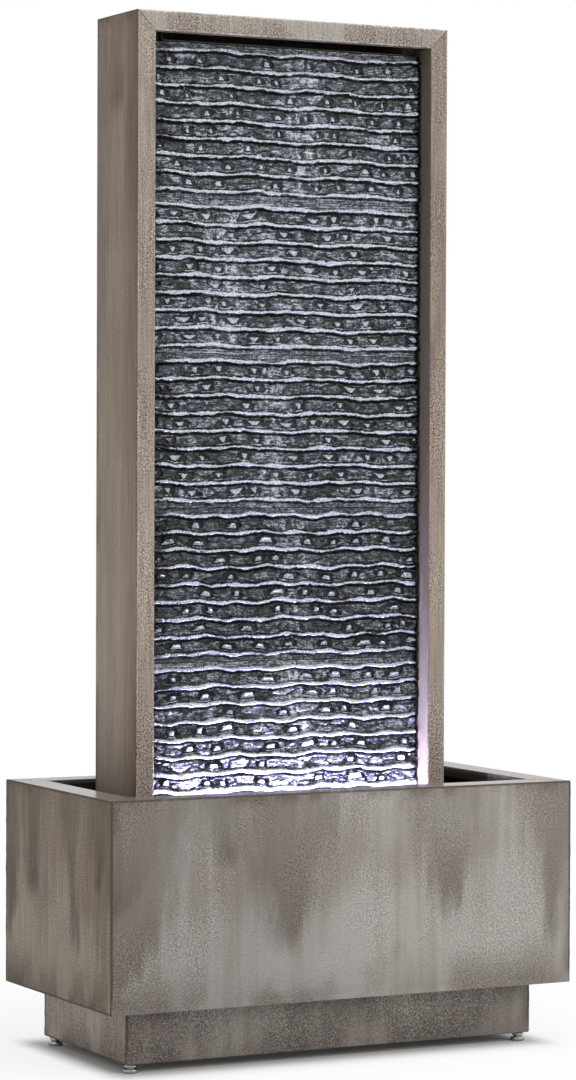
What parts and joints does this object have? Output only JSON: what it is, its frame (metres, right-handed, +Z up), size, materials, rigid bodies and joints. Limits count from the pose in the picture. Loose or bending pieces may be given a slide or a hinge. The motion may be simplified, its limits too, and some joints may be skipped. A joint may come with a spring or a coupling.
{
  "type": "cascading fountain",
  "caption": "Free-standing garden water wall: a folded-metal tower with lit slate-look relief tiles over a rimmed water basin on a recessed plinth with adjustable feet.",
  "frame": {"origin": "on the ground under the middle of the basin", "axes": "+X to the right seen from the front, +Y to the back, +Z up"},
  "size_m": [0.6, 0.3, 1.213],
  "materials": {
    "sheet_patina": "weathered zinc sheet, matt, grey-brown with cloudy patches and soft vertical streaks",
    "plain_steel": "zinc-plated steel",
    "foot_steel": "bright plated steel",
    "wet_slate": "cast slate-look relief, charcoal with pale ledges, wet gloss",
    "black_plastic": "moulded black plastic",
    "grey_plastic": "moulded grey plastic",
    "clear_hose": "flexible clear hose",
    "soft_rubber": "soft black rubber",
    "shaft_ceramic": "polished ceramic",
    "lamp_aluminium": "extruded aluminium",
    "lamp_board": "white circuit board",
    "lamp_chip": "lit lamp chip",
    "lamp_diffuser": "lit milky cover"
  },
  "bodies": {
    "root": {"basin_front_panel": "sheet_patina", "basin_back_panel": "sheet_patina", "basin_left_panel": "sheet_patina", "basin_right_panel": "sheet_patina", "basin_floor": "sheet_patina", "plinth_front_panel": "sheet_patina", "plinth_back_panel": "sheet_patina", "plinth_left_panel": "sheet_patina", "plinth_right_panel": "sheet_patina", "tower_left_stile": "sheet_patina", "tower_right_stile": "sheet_patina", "tower_top_rail": "sheet_patina", "tower_back_panel": "sheet_patina", "wall_plate": "sheet_patina", "header_trough": "sheet_patina", "corner_plates": "plain_steel", "stile_cleats": "plain_steel", "tile_ledger": "plain_steel", "led_brackets": "plain_steel", "foot_nuts": "plain_steel", "back_panel_screws": "plain_steel", "hose_clamps": "plain_steel", "header_inlet_nut": "plain_steel", "cascade_tile_1": "wet_slate", "cascade_tile_2": "wet_slate", "cascade_tile_3": "wet_slate", "cascade_tile_4": "wet_slate", "cascade_tile_5": "wet_slate", "pump_housing": "black_plastic", "pump_volute": "black_plastic", "pump_cover": "black_plastic", "pump_gland": "black_plastic", "hose_clips": "black_plastic", "pump_outlet": "grey_plastic", "header_inlet": "grey_plastic", "riser_hose": "clear_hose", "pump_suction_cups": "soft_rubber", "lead_grommet": "soft_rubber", "impeller_shaft": "shaft_ceramic", "led_channel": "lamp_aluminium", "led_end_caps": "lamp_aluminium", "led_board": "lamp_board", "led_chips": "lamp_chip", "led_diffuser": "lamp_diffuser"},
    "pad_front_left": {"foot_pad_front_left": "foot_steel"},
    "stud_front_left": {"foot_stud_front_left": "foot_steel"},
    "pad_front_right": {"foot_pad_front_right": "foot_steel"},
    "stud_front_right": {"foot_stud_front_right": "foot_steel"},
    "pad_back_left": {"foot_pad_back_left": "foot_steel"},
    "stud_back_left": {"foot_stud_back_left": "foot_steel"},
    "pad_back_right": {"foot_pad_back_right": "foot_steel"},
    "stud_back_right": {"foot_stud_back_right": "foot_steel"},
    "impeller": {"impeller": "black_plastic"},
    "flow_slider": {"flow_slider": "grey_plastic"}
  },
  "joints": [
    {"name": "foot_height_front_left", "type": "slide", "parent": "root", "child": "pad_front_left", "axis": [0, 0, -1], "range_m": [0, 0.015]},
    {"name": "foot_turn_front_left", "type": "hinge", "parent": "pad_front_left", "child": "stud_front_left", "pos_m": [-0.255, -0.105, 0], "axis": [0, 0, -1], "range_deg": [0, 4320]},
    {"name": "foot_height_front_right", "type": "slide", "parent": "root", "child": "pad_front_right", "axis": [0, 0, -1], "range_m": [0, 0.015]},
    {"name": "foot_turn_front_right", "type": "hinge", "parent": "pad_front_right", "child": "stud_front_right", "pos_m": [0.255, -0.105, 0], "axis": [0, 0, -1], "range_deg": [0, 4320]},
    {"name": "foot_height_back_left", "type": "slide", "parent": "root", "child": "pad_back_left", "axis": [0, 0, -1], "range_m": [0, 0.015]},
    {"name": "foot_turn_back_left", "type": "hinge", "parent": "pad_back_left", "child": "stud_back_left", "pos_m": [-0.255, 0.105, 0], "axis": [0, 0, -1], "range_deg": [0, 4320]},
    {"name": "foot_height_back_right", "type": "slide", "parent": "root", "child": "pad_back_right", "axis": [0, 0, -1], "range_m": [0, 0.015]},
    {"name": "foot_turn_back_right", "type": "hinge", "parent": "pad_back_right", "child": "stud_back_right", "pos_m": [0.255, 0.105, 0], "axis": [0, 0, -1], "range_deg": [0, 4320]},
    {"name": "impeller_spin", "type": "hinge", "parent": "root", "child": "impeller", "pos_m": [0, 0.064, 0.1097], "axis": [1, 0, 0], "continuous": true},
    {"name": "flow_adjust", "type": "slide", "parent": "root", "child": "flow_slider", "axis": [0, 0, 1], "range_m": [0, 0.014]}
  ],
  "couplings": [
    {"joint": "foot_height_front_left", "follows": "foot_turn_front_left", "m_per_rad": 0.00019894},
    {"joint": "foot_height_front_right", "follows": "foot_turn_front_right", "m_per_rad": 0.00019894},
    {"joint": "foot_height_back_left", "follows": "foot_turn_back_left", "m_per_rad": 0.00019894},
    {"joint": "foot_height_back_right", "follows": "foot_turn_back_right", "m_per_rad": 0.00019894}
  ]
}
